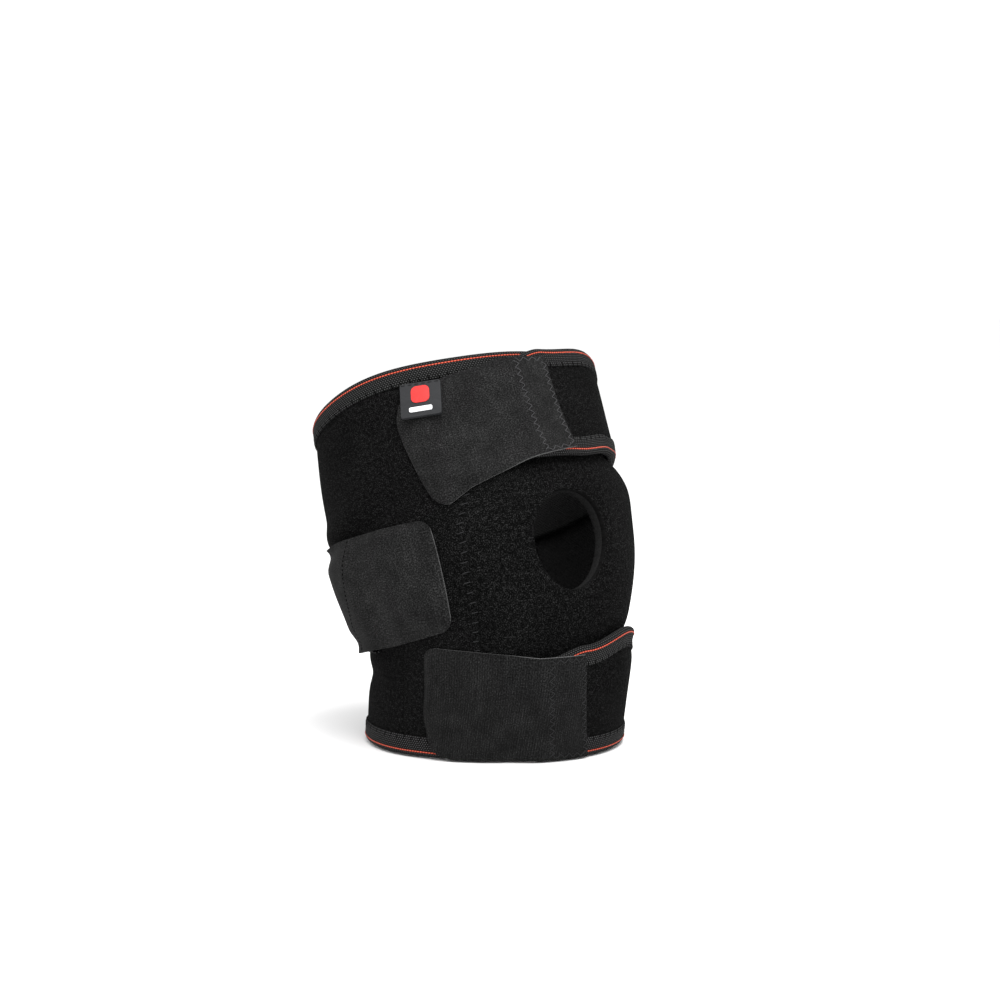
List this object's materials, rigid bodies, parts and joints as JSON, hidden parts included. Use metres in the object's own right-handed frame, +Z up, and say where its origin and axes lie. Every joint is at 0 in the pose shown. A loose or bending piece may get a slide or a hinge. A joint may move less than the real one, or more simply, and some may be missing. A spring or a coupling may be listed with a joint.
{
  "type": "knee brace",
  "caption": "Wrap-round neoprene knee brace with an open kneecap, stitched side-stay pockets, edge-bound straps with hook-and-loop tabs, and a small hanging label.",
  "frame": {"origin": "centre of the base, on the plane that the lower rim stands on", "axes": "+Z up the leg from the calf rim to the thigh rim, -Y toward the kneecap, +X toward the side that the upper and lower straps come round"},
  "size_m": [0.15, 0.1717, 0.1848],
  "materials": {
    "loop_fabric": "black loop-pile fabric on neoprene",
    "knitted_tape": "dark knitted tape with a woven orange line",
    "suede_tab": "charcoal brushed microsuede with pale cut edges",
    "hook_pad": "black moulded hook tape",
    "lining": "dark jersey lining",
    "foam": "soft foam covered in jersey",
    "stay_steel": "spring steel",
    "cap_plastic": "black moulded plastic",
    "label_rubber": "matt grey soft rubber",
    "label_dot": "raised orange-red print",
    "label_bar": "raised pale print"
  },
  "bodies": {
    "root": {"front_panel": "loop_fabric", "kneecap_ring": "foam", "left_wing": "loop_fabric", "lower_rim_binding": "knitted_tape", "right_wing": "loop_fabric", "side_stay_left": "stay_steel", "side_stay_right": "stay_steel", "stay_cap_left_lower": "cap_plastic", "stay_cap_left_upper": "cap_plastic", "stay_cap_right_lower": "cap_plastic", "stay_cap_right_upper": "cap_plastic", "stay_pocket_left": "lining", "stay_pocket_right": "lining", "upper_rim_binding": "knitted_tape"},
    "upper_strap_body": {"upper_strap": "loop_fabric", "upper_strap_binding_bottom": "knitted_tape", "upper_strap_binding_top": "knitted_tape", "upper_tab_base": "suede_tab"},
    "upper_tab_body": {"upper_hook_pad": "hook_pad", "upper_tab_flap": "suede_tab"},
    "middle_strap_body": {"middle_strap": "loop_fabric", "middle_strap_binding_bottom": "knitted_tape", "middle_strap_binding_top": "knitted_tape", "middle_tab_base": "suede_tab"},
    "middle_tab_body": {"middle_hook_pad": "hook_pad", "middle_tab_flap": "suede_tab"},
    "lower_strap_body": {"lower_strap": "loop_fabric", "lower_strap_binding_bottom": "knitted_tape", "lower_strap_binding_top": "knitted_tape", "lower_tab_base": "suede_tab"},
    "lower_tab_body": {"lower_hook_pad": "hook_pad", "lower_tab_flap": "suede_tab"},
    "label_body": {"label_bar": "label_bar", "label_dot": "label_dot", "label_tag": "label_rubber"}
  },
  "joints": [
    {"name": "upper_strap_swing", "type": "hinge", "parent": "root", "child": "upper_strap_body", "pos_m": [0.06301, 0.04146, 0.12139], "axis": [0.0224, 0.3949, 0.9184], "range_deg": [0, 90]},
    {"name": "middle_strap_swing", "type": "hinge", "parent": "root", "child": "middle_strap_body", "pos_m": [0.0507, 0.03223, 0.06454], "axis": [-0.1743, -0.3367, -0.9253], "range_deg": [0, 90]},
    {"name": "lower_strap_swing", "type": "hinge", "parent": "root", "child": "lower_strap_body", "pos_m": [0.05194, 0.01332, 0.01975], "axis": [0.0409, -0.0415, 0.9983], "range_deg": [0, 90]},
    {"name": "upper_tab_peel", "type": "hinge", "parent": "upper_strap_body", "child": "upper_tab_body", "pos_m": [-0.00894, -0.04872, 0.16131], "axis": [0.0088, 0.5172, 0.8558], "range_deg": [0, 100]},
    {"name": "middle_tab_peel", "type": "hinge", "parent": "middle_strap_body", "child": "middle_tab_body", "pos_m": [-0.06988, 0.00312, 0.0705], "axis": [0.1984, -0.2561, -0.9461], "range_deg": [0, 100]},
    {"name": "lower_tab_peel", "type": "hinge", "parent": "lower_strap_body", "child": "lower_tab_body", "pos_m": [-0.0156, -0.07881, 0.02537], "axis": [-0.0023, -0.2242, 0.9745], "range_deg": [0, 100]},
    {"name": "label_flip", "type": "hinge", "parent": "root", "child": "label_body", "pos_m": [-0.04426, -0.01869, 0.17069], "axis": [-0.7578, 0.6024, -0.2508], "range_deg": [0, 90]}
  ]
}
